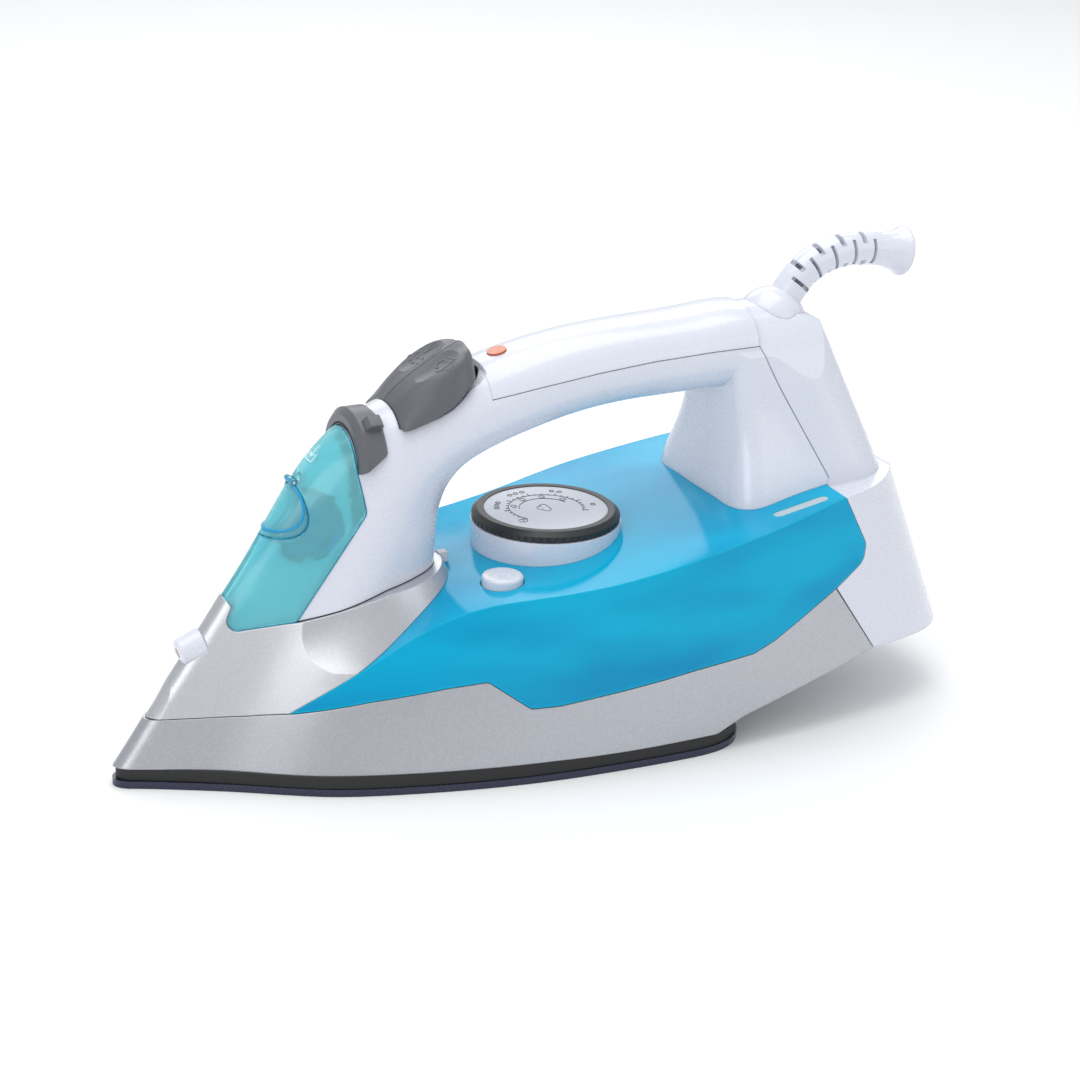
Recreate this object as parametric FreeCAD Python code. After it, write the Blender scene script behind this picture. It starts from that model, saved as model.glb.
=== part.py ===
import FreeCAD, Part
import math
import os

# Steam iron, millimetres. +Z up, the nose points to -X, Y = 0 is the mirror plane and the origin
# is the centre of the sole's working face.

# ---- driving dimensions ------------------------------------------------------------------------
SOLE_LENGTH = 220.0           # from the nose to the reference line under the heel
SOLE_HALF_WIDTH = 58.2
SOLE_THICKNESS = 2.6          # coated sole plate
BAND_TOP = 7.0                # top of the black heat band, where the skirt begins
WALL = 2.4                    # moulded walls
SEAM = 0.3                    # gap along the visible seams
HEEL_Z = 25.4                 # underside of the rear cover
NOSE_LEAN = 0.70              # how far the nose ridge leans back per millimetre of height
RIDGE_BEND_Z = 64.0           # height where the ridge gets steeper
UPPER_LEAN = 0.61
DIAL_X = 52.0
DIAL_TOP = 78.0
DIAL_RADIUS = 26.3
DIAL_SPIN_GAP = 0.35
SHAFT_RADIUS = 3.0
SHAFT_FIT = 0.08              # radial running clearance
BALL_CENTRE = (140.0, 0.0, 137.0)
BALL_RADIUS = 12.6
BALL_FIT = 0.08
SLEEVE_RADIUS = 6.0
SLEEVE_BORE = 3.6             # radius of the cord hole
BUTTON_GAP = 0.35
PAD_SWING = 4.0               # degrees a thumb button tips when pressed
LEVER_SWING = 22.0            # degrees from dry to full steam
CLEAN_BUTTON = (22.0, -27.5)  # x, y of the self-clean button
CLEAN_RADIUS = 7.2
VALVE_ROD = (-15.5, 0.0)      # x, y of the steam valve rod
STEAM_TUBE = (-4.0, -7.4)
PUMP_X = 13.0
PUMP_Y = 7.4
NOSE_X = -SOLE_LENGTH / 2

os.makedirs("parts", exist_ok=True)


# ---- small tools ---------------------------------------------------------------------------------
def vec(x, y, z):
    return FreeCAD.Vector(x, y, z)


def save(name, shape):
    """Write one sub-part as parts/NAME.step."""
    solids = shape.Solids
    out = solids[0] if len(solids) == 1 else Part.makeCompound(solids)
    out.exportStep("parts/%s.step" % name)


def box(x0, x1, y0, y1, z0, z1):
    return Part.makeBox(x1 - x0, y1 - y0, z1 - z0, vec(x0, y0, z0))


def rod(start, end, radius):
    """Cylinder from start to end."""
    axis = vec(*end) - vec(*start)
    return Part.makeCylinder(radius, axis.Length, vec(*start), axis)


def tube(start, end, outer, inner):
    return rod(start, end, outer).cut(rod(start, end, inner))


def rounded(points, radii):
    """Closed XZ outline of straight runs joined by tangent arcs; radii has one entry per corner."""
    count = len(points)
    edges = []
    marks = []
    for i, (x, z) in enumerate(points):
        here = vec(x, 0, z)
        before = vec(points[i - 1][0], 0, points[i - 1][1])
        after = vec(points[(i + 1) % count][0], 0, points[(i + 1) % count][1])
        if radii[i] <= 0:
            marks.append((here, here, None))
            continue
        to_before = (before - here).normalize()
        to_after = (after - here).normalize()
        half = to_before.getAngle(to_after) / 2
        reach = radii[i] / math.tan(half)
        bisector = (to_before + to_after).normalize()
        middle = here + bisector * (radii[i] / math.sin(half) - radii[i])
        marks.append((here + to_before * reach, here + to_after * reach, middle))
    for i, (entry, leave, middle) in enumerate(marks):
        if middle is not None:
            edges.append(Part.Arc(entry, middle, leave).toShape())
        following = marks[(i + 1) % count][0]
        if (following - leave).Length > 1e-6:
            edges.append(Part.LineSegment(leave, following).toShape())
    return Part.Wire(edges)


def prism(points, radii=None, y0=-90.0, y1=90.0):
    """Solid with an XZ outline, running along Y."""
    wire = rounded(points, radii or [0] * len(points))
    wire.translate(vec(0, y0, 0))
    return Part.Face(wire).extrude(vec(0, y1 - y0, 0))


def spline_edge(points, y=0.0):
    curve = Part.BSplineCurve()
    curve.interpolate([vec(x, y, z) for x, z in points])
    return curve.toShape()


def closed_spline(points):
    """Smooth closed wire through the points, as two edges that meet half way round.

    Each half is cut from a longer curve that overlaps its neighbour, so the joints stay smooth.
    """
    count = len(points)
    half = count // 2
    edges = []
    for start in (0, half):
        curve = Part.BSplineCurve()
        curve.interpolate([points[(start + i) % count] for i in range(-3, half + 4)])
        first = curve.parameter(points[start])
        last = curve.parameter(points[(start + half) % count])
        edges.append(curve.toBSpline(first, last).toShape())
    return Part.Wire(edges)


def mirrored(half, z):
    """Closed smooth outline at height z from a half outline (x, y) that starts and ends on Y = 0."""
    far = [(x, -y) for x, y in half[-2:0:-1]]
    return closed_spline([vec(x, y, z) for x, y in half + far])


def loft(wires):
    return Part.makeLoft(wires, True, False)


def clamp(value, low=0.0, high=1.0):
    return max(low, min(high, value))


# ---- master forms -----------------------------------------------------------------------------
# Half outline of the body at the top of the heat band, extended back to the heel.
BODY_OUTLINE = [
    (-110, 0), (-108.6, 3.0), (-103, 6.2), (-96, 9.2), (-76, 18.6), (-58, 30), (-44, 37.2),
    (-27, 43.3), (-7, 48.8), (13, 53), (33, 55.9), (62, 58.2), (85, 57.9), (110, 56.5), (135, 54),
    (160, 50.5), (180, 46), (195, 38.5), (203, 27), (206.4, 13), (207, 0)]
DRAFT = 0.08 / 58.0           # the walls lean in by this share of their width per millimetre


def ridge_x(z):
    """Nose ridge position at height z."""
    low = min(z, RIDGE_BEND_Z) - BAND_TOP
    return NOSE_X + NOSE_LEAN * low + UPPER_LEAN * max(0.0, z - RIDGE_BEND_Z)


def body_section(z, inset=0.0):
    """Outline of the body at height z, drawn in by inset."""
    lean = ridge_x(z) - NOSE_X
    rear = -0.37 * (z - 22.0)
    half = []
    for x, y in BODY_OUTLINE:
        front_share = 1 - clamp((x - 20.0) / 110.0)
        tip_share = clamp((-60.0 - x) / 50.0)
        rear_share = clamp((x - 125.0) / 70.0)
        new_x = x + lean * front_share * (0.74 + 0.26 * tip_share) + rear * rear_share
        new_x += inset * (1.6 * clamp((-40.0 - x) / 60.0) - clamp((x - 150.0) / 40.0))
        new_y = y * (1 - DRAFT * (z - BAND_TOP))
        half.append((new_x, max(0.0, new_y - inset) if y else 0.0))
    return mirrored([p for i, p in enumerate(half) if p[1] > 0.3 or i in (0, len(half) - 1)], z)


def body_form(inset=0.0, low=4.0, high=96.0):
    heights = [low, 22.0, 40.0, 58.0, 76.0, high]
    return loft([body_section(z, inset) for z in heights])


# Height of the tank's top along the body; ahead of the handle it falls away to a point.
DECK_LINE = [(-72, 15), (-56, 26.3), (-38, 38.2), (-23, 47.7), (-11, 54.6), (0, 59.4), (12, 62.3),
             (30, 64.0), (57, 67.0), (84, 72.2), (115, 77.8), (145, 83.2), (200, 93.0)]
DECK_CROWN = 2.6


def deck_form(drop=0.0, floor=-5.0):
    """Everything below the tank's gently crowned top."""
    wires = []
    for y, crown in ((-70.0, -1.0), (0.0, 1.0), (70.0, -1.0)):
        line = [(x, z - drop + crown * DECK_CROWN * clamp((x + 40) / 50.0) / 2) for x, z in DECK_LINE]
        (xa, za), (xb, zb) = line[0], line[-1]
        corners = [vec(xb, y, zb), vec(xb, y, floor), vec(xa, y, floor), vec(xa, y, za)]
        edges = [spline_edge(line, y)]
        edges += [Part.LineSegment(a, b).toShape() for a, b in zip(corners, corners[1:])]
        wires.append(Part.Wire(edges))
    return Part.makeLoft(wires, True, False)


# Silver shoulder that carries the front of the handle: (height, half outline).
SHOULDER = [
    (18, [(-104, 0), (-101, 4.4), (-96, 7.6), (-78, 18.5), (-58, 28.5), (-38, 37.5), (-16, 45),
          (8, 46), (24, 34), (30, 0)]),
    (32, [(-92.2, 0), (-89.6, 4.6), (-84, 8.4), (-72, 15.0), (-57, 22.6), (-40, 32.2), (-20, 40.5),
          (4, 40), (20, 28), (25, 0)]),
    (45, [(-83.4, 0), (-81.2, 4.4), (-76, 7.9), (-66, 13.0), (-55, 18.2), (-40, 26.4), (-22, 34.0),
          (0, 31.5), (14, 21), (18, 0)]),
    (58, [(-74.3, 0), (-72.4, 4.3), (-68, 7.6), (-60, 11.9), (-50, 16.0), (-36, 20.6), (-18, 25.6),
          (-1, 23.6), (10, 15), (14, 0)]),
    (66, [(-70.0, 0), (-68.1, 4.3), (-64, 7.4), (-56, 11.6), (-46, 15.6), (-33, 18.8), (-17, 21.4),
          (-3, 19.2), (7, 11), (10.5, 0)]),
    (74, [(-65.1, 0), (-63.2, 4.2), (-59.5, 7.2), (-52, 11.3), (-43, 14.9), (-31, 17.9), (-16, 19.6),
          (-4, 15.6), (3, 8), (6, 0)]),
]


def shoulder_form(inset=0.0):
    wires = []
    for z, half in SHOULDER:
        inner = []
        for x, y in half:
            shift = inset * (1.5 if x < -60 else 0.0) - (inset if x > 0 else 0.0)
            inner.append((x + shift, max(0.0, y - inset) if y else 0.0))
        wires.append(mirrored(inner, z))
    return loft(wires)


# Handle: each section runs from an outer (x, z) to an inner (x, z) point of the side view, with
# a half width and a number saying how much the outer end is pinched to a nose.
HANDLE = [
    ((-77.0, 52.0), (7.0, 52.0), 20.0, 0.62),
    ((-67.4, 66.5), (7.0, 64.0), 19.6, 0.60),
    ((-57.6, 80.8), (7.6, 77.6), 19.0, 0.50),
    ((-46.6, 97.8), (9.6, 90.4), 18.6, 0.36),
    ((-31.4, 114.2), (17.2, 100.6), 18.3, 0.20),
    ((-11.4, 124.9), (30.6, 106.8), 18.0, 0.08),
    ((16.0, 134.0), (45.0, 111.0), 18.0, 0.02),
    ((44.0, 140.8), (60.0, 114.2), 18.0, 0.0),
    ((76.0, 144.3), (80.0, 116.2), 18.2, 0.0),
    ((106.0, 145.6), (102.0, 116.6), 18.6, 0.0),
    ((132.0, 145.4), (124.0, 114.0), 19.0, 0.0),
]
OVAL_STEPS = 16


def handle_section(outer, inner, half_width, pinch, grow=0.0):
    """Oval between the outer and inner point of the side view, grown by grow all round."""
    a = vec(outer[0], 0, outer[1])
    b = vec(inner[0], 0, inner[1])
    reach = (a - b) / 2
    out = vec(reach.x, 0, reach.z).normalize()
    points = []
    for i in range(OVAL_STEPS):
        angle = 2 * math.pi * i / OVAL_STEPS
        along = math.cos(angle)
        across = math.copysign(abs(math.sin(angle)) ** 0.86, math.sin(angle)) if i % 8 else 0.0
        width = (half_width + grow) * across * (1 - pinch * max(0.0, along) ** 1.3)
        points.append((a + b) / 2 + out * ((reach.Length + grow) * along) + vec(0, width, 0))
    return closed_spline(points)


def handle_form(grow=0.0, first=0, last=None):
    return loft([handle_section(*row, grow=grow) for row in HANDLE[first:last]])


# Rear tower: (height, front x, rear x, half width at the front, half width at the rear).
TOWER = [
    (60.0, 110.5, 185.0, 37.0, 36.0), (72.0, 111.4, 182.0, 34.8, 34.8),
    (84.0, 112.6, 178.2, 32.0, 33.0), (98.0, 115.0, 173.0, 26.4, 29.4),
    (112.0, 115.4, 167.0, 21.8, 25.8), (126.0, 114.0, 161.0, 19.9, 22.6),
    (138.0, 110.0, 155.6, 19.6, 20.2), (152.0, 106.0, 149.0, 18.4, 18.4)]


def tower_section(z, front, rear, front_half, rear_half, inset=0.0):
    front += inset
    rear -= inset
    front_half -= inset
    rear_half -= inset
    half = [(front, 0), (front + 0.3, 0.50 * front_half), (front + 1.8, 0.84 * front_half),
            (front + 6.0, 0.975 * front_half), (front + 16.0, front_half),
            (rear - 22.0, rear_half), (rear - 9.0, 0.94 * rear_half),
            (rear - 3.2, 0.74 * rear_half), (rear - 0.5, 0.38 * rear_half), (rear, 0)]
    return mirrored(half, z)


def tower_form(inset=0.0):
    return loft([tower_section(*row, inset=inset) for row in TOWER])


def roof_form(inset=0.0):
    """Rounded top of the tower: an arch along X, falling off towards the rear."""
    half = [(-50.0, 52.0), (-34.0, 100.0), (-21.5, 127.0), (-15.6, 137.2), (-8.2, 143.8)]
    arch = [vec(90, y, z - inset) for y, z in half] + [vec(90, 0, 145.7 - inset)]
    arch += [vec(90, -y, z - inset) for y, z in reversed(half)]
    curve = Part.BSplineCurve()
    curve.interpolate(arch)
    base = Part.LineSegment(arch[-1], arch[0]).toShape()
    body = Part.Face(Part.Wire([curve.toShape(), base])).extrude(vec(130, 0, 0))
    outline = [(80, 20), (80, 146.2 - inset), (127, 146.2 - inset), (152.4 - inset, 140.4 - inset),
               (158.2 - inset, 132.0), (169.5 - inset, 106.0), (198 - inset, 40), (198 - inset, 20)]
    return body.common(prism(outline, [0, 0, 12, 4.5, 14, 40, 0, 0]))


# ---- side-view seam lines ----------------------------------------------------------------------
SKIRT_TOP = [(-125, 22.4), (-98, 23.0), (-84, 23.8), (-68, 24.9), (-53.4, 26.8), (-30.6, 31.5),
             (-5, 35.3), (8.2, 36.6), (22.5, 26.1), (33, 26.2), (62, 29.6), (84, 32.1),
             (108, 34.0), (117, 37.3), (143.8, 51.0), (161.6, 25.4)]
SKIRT_BOTTOM = [(161.6, 25.4), (104, 11.6), (93, BAND_TOP), (-125, BAND_TOP)]
SKIRT_RADII = [0, 0, 0, 0, 0, 0, 0, 3, 3, 0, 0, 0, 6, 4, 0, 0, 0, 3, 4, 0]
TANK_REAR = [(156.4, 58.8), (157.6, 65.0), (147.5, 84.6)]
COVER_SEAM = [(125.6, 160.0), (125.4, 146.0), (125.2, 134.3), (137.0, 110.6), (148.6, 86.6)]


def lifted(points, rise):
    return [(x, z + rise) for x, z in points]


def skirt_zone(rise=0.0):
    return prism(lifted(SKIRT_TOP, rise) + SKIRT_BOTTOM[1:], SKIRT_RADII[:15] + [0] + [3, 4, 0])


def tank_zone():
    """Side view of the tank: above the skirt and ahead of the rear cover."""
    top = lifted(SKIRT_TOP[3:15], SEAM)
    outline = top + TANK_REAR + [(120, 130), (-20, 130), (-68, 60)]
    radii = [0, 0, 0, 0, 3, 3, 0, 0, 0, 6, 4, 3] + [6, 4, 2] + [0, 0, 0]
    return prism(outline, radii)


def rear_zone():
    """Side view of everything behind the tank, the skirt and the handle's rear seam."""
    seam = [(x + SEAM, z) for x, z in COVER_SEAM]
    tank_side = [(x + SEAM, z) for x, z in reversed(TANK_REAR)]
    skirt_side = [(144.3, 51.2), (162.0, HEEL_Z)]
    outline = seam + tank_side[0:3] + skirt_side + [(230, HEEL_Z), (230, 160)]
    radii = [0, 0, 6, 0, 0] + [2, 4, 6] + [0, 0] + [0, 0]
    return prism(outline, radii)


BODY = body_form()
BODY_INNER = body_form(inset=WALL)
DECK = deck_form()
SHOULDER_OUT = shoulder_form()
SHOULDER_IN = shoulder_form(inset=WALL)
HANDLE_OUT = handle_form()
HANDLE_IN = handle_form(grow=-WALL)
TOWER_OUT = tower_form().common(roof_form())
TOWER_IN = tower_form(inset=WALL).common(roof_form(inset=WALL))
REAR_BODY_TOP = [(100, 76.0), (130, 81.0), (150, 83.6), (179, 86.0), (190.5, 74.0), (220, 40)]
COLUMN_BASE = [(-71.0, 64.3), (-68.6, 60.6), (-71.6, 54.4), (-68.0, 52.4), (-49, 56), (-35, 59.2),
               (-18, 63.6), (-4, 65.6), (8, 67.0), (40, 68.0)]
COVER_BACK = [(-49, 56), (-34.5, 77.5), (-24.6, 92.4), (-26.4, 105.0), (-26.6, 121.5)]
GRIP_SEAM = [(126.5, 134.3), (106, 134.2), (84, 133.4), (62, 131.6), (40, 129.0), (22.0, 126.5)]


def below_column(rise=0.0):
    """Side view of what lies below the white column and the front cover."""
    outline = [(-130, 64.3)] + COLUMN_BASE + [(40, -10), (-130, -10)]
    return prism(lifted(outline, rise), [0, 1.5, 1, 3, 2] + [0] * 8)


def cover_zone(gap=0.0):
    """Side view of the clear front cover."""
    back = [(x - gap, z) for x, z in COVER_BACK]
    outline = lifted([(-130, 64.3)] + COLUMN_BASE[:5], gap) + back[1:] + [(-45, 140), (-130, 140)]
    return prism(outline, [0, 1.5, 1, 3, 2, 2.5] + [0, 4, 0, 0] + [0, 0])


# ---- moulded shells ----------------------------------------------------------------------------
def lower_skirt():
    zone = skirt_zone()
    hollow = BODY_INNER.cut(skirt_zone().cut(skirt_zone(rise=WALL)).common(box(97, 170, -90, 90, 0, 60)))
    return BODY.common(zone).cut(hollow)


def front_shroud():
    region = BODY.common(SHOULDER_OUT).cut(skirt_zone(rise=SEAM)).cut(box(-130, 60, -90, 90, 0, 22))
    region = region.common(below_column()).cut(deck_form(drop=-0.1).cut(box(-130, -56, -90, 90, -9, 60)))
    region = region.cut(HANDLE_OUT.common(box(-54, 60, -60, 60, 50, 90)))
    hollow = BODY_INNER.common(SHOULDER_IN).common(below_column(rise=-WALL))
    solid_nose = box(-130, -84.5, -20, 20, 0, 60)
    return region.cut(hollow.cut(solid_nose))


def tank():
    outer = BODY.common(DECK).common(tank_zone())
    cavity = BODY_INNER.common(deck_form(drop=2.6)).common(box(-44, 153, -90, 90, 10, 100))
    return outer.cut(cavity)


def handle_outer():
    post = TOWER_OUT.common(box(90, 175, -60, 60, 60, 139))
    return HANDLE_OUT.fuse(post)


def front_cover():
    return handle_form(grow=0.5, last=7).common(cover_zone(gap=SEAM / 2)).cut(HANDLE_IN)


def rear_cover():
    closed = REAR_BODY_TOP + [(220, 10), (100, 10)]
    block = BODY.common(prism(closed, [0, 0, 0, 3, 4, 0, 0, 0]))
    lowered = lifted(REAR_BODY_TOP, -WALL) + [(220, HEEL_Z + WALL), (100, HEEL_Z + WALL)]
    hollow = BODY_INNER.common(prism(lowered))
    return TOWER_OUT.fuse(block).common(rear_zone()).cut(hollow.fuse(TOWER_IN))


# ---- controls on the handle ----------------------------------------------------------------------
# Thumb pads: side outline, and cross sections from the ridge on Y = 0 over the rim of the dish and
# the side facet down to the lower edge: x, ridge z, (y, z) of rim, facet and edge.
PAD_OUTLINE = [(-10.7, 150), (-10.7, 119.3), (-7.0, 120.1), (-2.4, 121.7), (2.2, 123.4), (6.8, 125.9),
               (10.4, 128.7), (13.6, 131.6), (17.0, 133.2), (20.6, 136.0), (20.6, 150)]
PAD_SECTIONS = [(-12.2, 125.0, (5.0, 124.4), (11.0, 121.4), (15.0, 117.6)),
                (-10.7, 126.3, (6.0, 125.5), (12.0, 122.3), (16.6, 118.4)),
                (-7.0, 129.9, (8.0, 129.0), (13.4, 125.4), (17.2, 119.2)),
                (-2.5, 133.1, (9.6, 132.6), (14.4, 128.2), (17.6, 120.6)),
                (2.2, 136.0, (10.6, 135.9), (15.0, 130.8), (17.8, 122.2)),
                (7.0, 138.8, (10.8, 138.6), (15.0, 133.4), (17.6, 124.6)),
                (11.5, 141.2, (10.4, 140.6), (14.4, 135.8), (17.0, 127.0)),
                (15.2, 142.9, (8.4, 141.8), (12.6, 137.4), (15.2, 129.6)),
                (18.2, 142.8, (5.4, 141.4), (8.6, 137.8), (10.8, 131.6)),
                (20.6, 138.6, (2.4, 137.8), (4.0, 135.8), (5.2, 131.6))]
PAD_PIVOT = (-7.6, 0.0, 113.5)
PAD_FLOOR = 115.0
PIVOT_RADIUS = 1.3
PUMP_BASE = 110.0
PUMP_TOP = 121.0
PUMP_BORE = 3.7
LEVER_FRONT = -26.2           # the lever is a band around the front of the handle, axis along X
LEVER_BACK = -16.6
LEVER_Z = 106.2
LEVER_RADIUS = 17.9
LEVER_END = [(-30, 103.2), (-12, 115.4), (-12, 80), (-30, 80)]    # side view below the band's ends
SPOKE_ANGLE = 52.0
LID_CENTRE = (-50.6, 0.0, 92.2)
LID_NORMAL = (-0.855, 0.0, 0.519)
LID_UP = (0.519, 0.0, 0.855)
LID_RADIUS = 10.2
LID_GAP = 0.35
LID_PIN_RADIUS = 0.5
LID_KNUCKLE = 1.1
NOZZLE_BASE = (-77.5, 0.0, 47.2)
NOZZLE_TIP = (-86.2, 0.0, 44.6)
LAMP = (31.2, 0.0, 137.6)
LAMP_NORMAL = (-0.236, 0.0, 0.972)
LAMP_RADIUS = 3.4
FUNNEL_TOP = (-40.5, 0.0, 80.0)
FUNNEL_END = (-27.0, 0.0, 41.0)
FUNNEL_RADIUS = 4.6
SPRAY_PATH = [(PUMP_X, PUMP_Y, 106.5), (6.0, 7.4, 101.5), (-4, 7.4, 93), (-24, 7.4, 75), (-42, 7.2, 57.2),
              (-56, 5.2, 49.4), (-76.4, 0, 47.3)]
STEAM_PATH = [(PUMP_X, -PUMP_Y, 106.5), (7.0, -7.4, 96.0), (0, -7.4, 84), (-3.4, -7.4, 72),
              (-4, -7.4, 60)]


def along(start, direction, distance):
    return tuple(s + d * distance for s, d in zip(start, direction))


def pipe(points, outer, inner=0.0):
    """Round tube along a smooth line through the points."""
    curve = Part.BSplineCurve()
    curve.interpolate([vec(*p) for p in points])
    path = Part.Wire(curve.toShape())
    start = curve.value(curve.FirstParameter)
    tangent = curve.tangent(curve.FirstParameter)[0]
    shape = None
    for radius in [outer] + ([inner] if inner else []):
        section = Part.Wire(Part.makeCircle(radius, start, tangent))
        swept = path.makePipeShell([section], True, False)
        shape = swept if shape is None else shape.cut(swept)
    return shape


def coil(base, low, high, radius, wire_radius, turns):
    """Compression spring about a vertical line."""
    steps = 12 * turns
    first = low + wire_radius + 0.4
    rise = (high - wire_radius - 0.15 - first) / steps
    points = []
    for i in range(steps + 1):
        angle = math.radians(30 * i)
        x, y = base[0] + radius * math.cos(angle), base[1] + radius * math.sin(angle)
        points.append((x, y, first + rise * i))
    return pipe(points, wire_radius)


def pad_section(x, ridge, rim, facet, edge):
    """Closed section of the pads: dished top, side facets, flat underside."""
    half = [(0, ridge), (rim[0] / 2, (ridge + rim[1]) / 2), rim, facet, edge,
            (0.94 * edge[0], PAD_FLOOR), (0.5 * edge[0], PAD_FLOOR - 1), (0, PAD_FLOOR - 1)]
    far = [(-y, z) for y, z in half[-2:0:-1]]
    return closed_spline([vec(x, y, z) for y, z in half + far])


def pad_zone(gap=0.0):
    """Side view of the thumb pads, grown by gap."""
    middle_x, middle_z = 3.0, 134.0
    outline = []
    for x, z in PAD_OUTLINE:
        reach = math.hypot(x - middle_x, z - middle_z)
        outline.append((x + gap * (x - middle_x) / reach, z + gap * (z - middle_z) / reach))
    return prism(outline)


def pressed(shape, angle):
    turned = shape.copy()
    turned.rotate(vec(*PAD_PIVOT), vec(0, 1, 0), angle)
    return turned


def button_opening():
    opening = pad_zone(0.45)
    return opening.fuse(pressed(opening, PAD_SWING / 2)).fuse(pressed(opening, PAD_SWING + 0.5))


def button_pin(radius):
    return rod((PAD_PIVOT[0], -9, PAD_PIVOT[2]), (PAD_PIVOT[0], 9, PAD_PIVOT[2]), radius)


def thumb_button(side):
    """One of the pair: side -1 is the steam burst, side +1 the water spray."""
    pad = loft([pad_section(*row) for row in PAD_SECTIONS])
    core = handle_form(grow=-3.2, first=3, last=8)
    low, high = sorted((side * BUTTON_GAP / 2, side * 30.0))
    shape = pad.common(pad_zone()).cut(core).common(box(-30, 40, low, high, 100, 160))
    dish_centre = along((6.4, side * 6.4, 138.4), (-0.5, 0.0, 0.866), 64.9)
    shape = shape.cut(Part.makeTorus(50.0, 16.0, vec(*dish_centre), vec(0, 1, 0)))
    near, far = sorted((side * 3.0, side * 7.0))
    return shape.fuse(box(-9.8, -5.6, near, far, 111.4, 123.4)).cut(button_pin(PIVOT_RADIUS + SHAFT_FIT))


def pump_cylinder(side):
    x, y = PUMP_X, side * PUMP_Y
    shape = tube((x, y, PUMP_BASE), (x, y, PUMP_TOP), 4.7, PUMP_BORE)
    shape = shape.fuse(tube((x, y, PUMP_BASE - 1.2), (x, y, PUMP_BASE), 4.7, 1.1))
    return shape.fuse(tube((x, y, 106.5), (x, y, PUMP_BASE - 1.2), 1.9, 1.1))


def pump_piston(side):
    x, y = PUMP_X, side * PUMP_Y
    shape = rod((x, y, 114.5), (x, y, 118.5), PUMP_BORE - SHAFT_FIT)
    shape = shape.fuse(rod((x, y, 118.5), (x, y, 125.2), 1.6))
    return shape.fuse(rod((x, y, 125.2), (x, y, 126.4), 3.4))


def pump_spring(side):
    return coil((PUMP_X, side * PUMP_Y), PUMP_TOP + 0.1, 125.1, 2.6, 0.3, 3)


def pump_frame():
    """Plate across the handle that carries both pump cylinders."""
    plate = HANDLE_IN.common(box(4.0, 21.0, -30, 30, 112.0, 113.6))
    for side in (-1, 1):
        plate = plate.cut(rod((PUMP_X, side * PUMP_Y, 105), (PUMP_X, side * PUMP_Y, 125), 4.7))
    return plate


def lever_inner(x):
    """Radius of the band's inside; it opens towards the back with the handle."""
    return 13.0 + 0.24 * (x - LEVER_FRONT)


def lever_sweep(profile, start_angle, sweep):
    """Turn a profile of (x, radius) pairs; angles grow from the top towards +Y."""
    points = [vec(x, 0, LEVER_Z + radius) for x, radius in profile]
    face = Part.Face(Part.makePolygon(points + [points[0]]))
    face.rotate(vec(0, 0, LEVER_Z), vec(1, 0, 0), -start_angle)
    return face.revolve(vec(0, 0, LEVER_Z), vec(1, 0, 0), -sweep)


def lever_slot():
    front, back = LEVER_FRONT - 0.4, LEVER_BACK + 0.4
    profile = [(front, lever_inner(front) - 0.3), (front, 26), (back, 26), (back, lever_inner(back) - 0.3)]
    slot = lever_sweep(profile, -94.0, 188.0 + LEVER_SWING)
    stop = prism([(x, z - 0.5) for x, z in LEVER_END], None, -40, 0)
    return slot.cut(stop)


def lever_pin(radius=2.0):
    return rod((LEVER_FRONT, 0, LEVER_Z), (-11.4, 0, LEVER_Z), radius)


def control_frame():
    """Drum under the lever with its end walls, and the bracket for the buttons' pin."""
    front, back = LEVER_FRONT, LEVER_BACK + 0.4
    ring = [(front, 10.0), (front, lever_inner(front) - 0.3), (back, lever_inner(back) - 0.3), (back, 12.0)]
    drum = lever_sweep(ring, 0.0, 360.0).fuse(rod((front, 0, LEVER_Z), (front + 1.5, 0, LEVER_Z), 11.0))
    sleeve = tube((back, 0, LEVER_Z), (-11.4, 0, LEVER_Z), 14.0, 12.0)
    wall = box(-12.9, -11.4, -30, 30, 96, 140)
    rear = sleeve.fuse([wall, box(-12.9, -4.6, -2.6, 2.6, 110.6, 116.4)])
    drum = drum.fuse(rear.common(HANDLE_IN.fuse(drum))).common(box(-60, 40, -60, 60, 96, 140))
    for start in (-SPOKE_ANGLE, SPOKE_ANGLE):
        window = [(-24.2, 9.0), (-24.2, 19.0), (-18.6, 19.0), (-18.6, 9.0)]
        drum = drum.cut(lever_sweep(window, start - 11.0, LEVER_SWING + 22.0))
    return drum.cut(lever_pin()).cut(button_pin(PIVOT_RADIUS))


def steam_lever():
    front, back = LEVER_FRONT, LEVER_BACK
    profile = [(front, lever_inner(front)), (front, LEVER_RADIUS - 2.2), (front + 2.0, LEVER_RADIUS),
               (back - 0.8, LEVER_RADIUS), (back, LEVER_RADIUS - 0.8), (back, lever_inner(back))]
    band = lever_sweep(profile, -92.0, 184.0).cut(prism(LEVER_END))
    parts = [rod((-24.4, 0, LEVER_Z), (-18.4, 0, LEVER_Z), 4.5)]
    for angle in (-SPOKE_ANGLE, SPOKE_ANGLE):
        spoke = rod((-21.4, 0, LEVER_Z + 3), (-21.4, 0, LEVER_Z + 15), 2.0)
        spoke.rotate(vec(0, 0, LEVER_Z), vec(1, 0, 0), -angle)
        parts.append(spoke)
    rib = [(front + 3.4, 15.5), (front + 3.4, 18.6), (front + 4.8, 20.4), (back - 0.6, 20.4), (back, 19.6),
           (back, 15.5)]
    parts.append(lever_sweep(rib, -41.0, 13.0))
    return band.fuse(parts).cut(rod((-28, 0, LEVER_Z), (-14, 0, LEVER_Z), 2.0 + SHAFT_FIT))


def lamp_rod(radius, below, above):
    return rod(along(LAMP, LAMP_NORMAL, -below), along(LAMP, LAMP_NORMAL, above), radius)


def lid_rod(radius, below, above):
    return rod(along(LID_CENTRE, LID_NORMAL, -below), along(LID_CENTRE, LID_NORMAL, above), radius)


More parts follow.
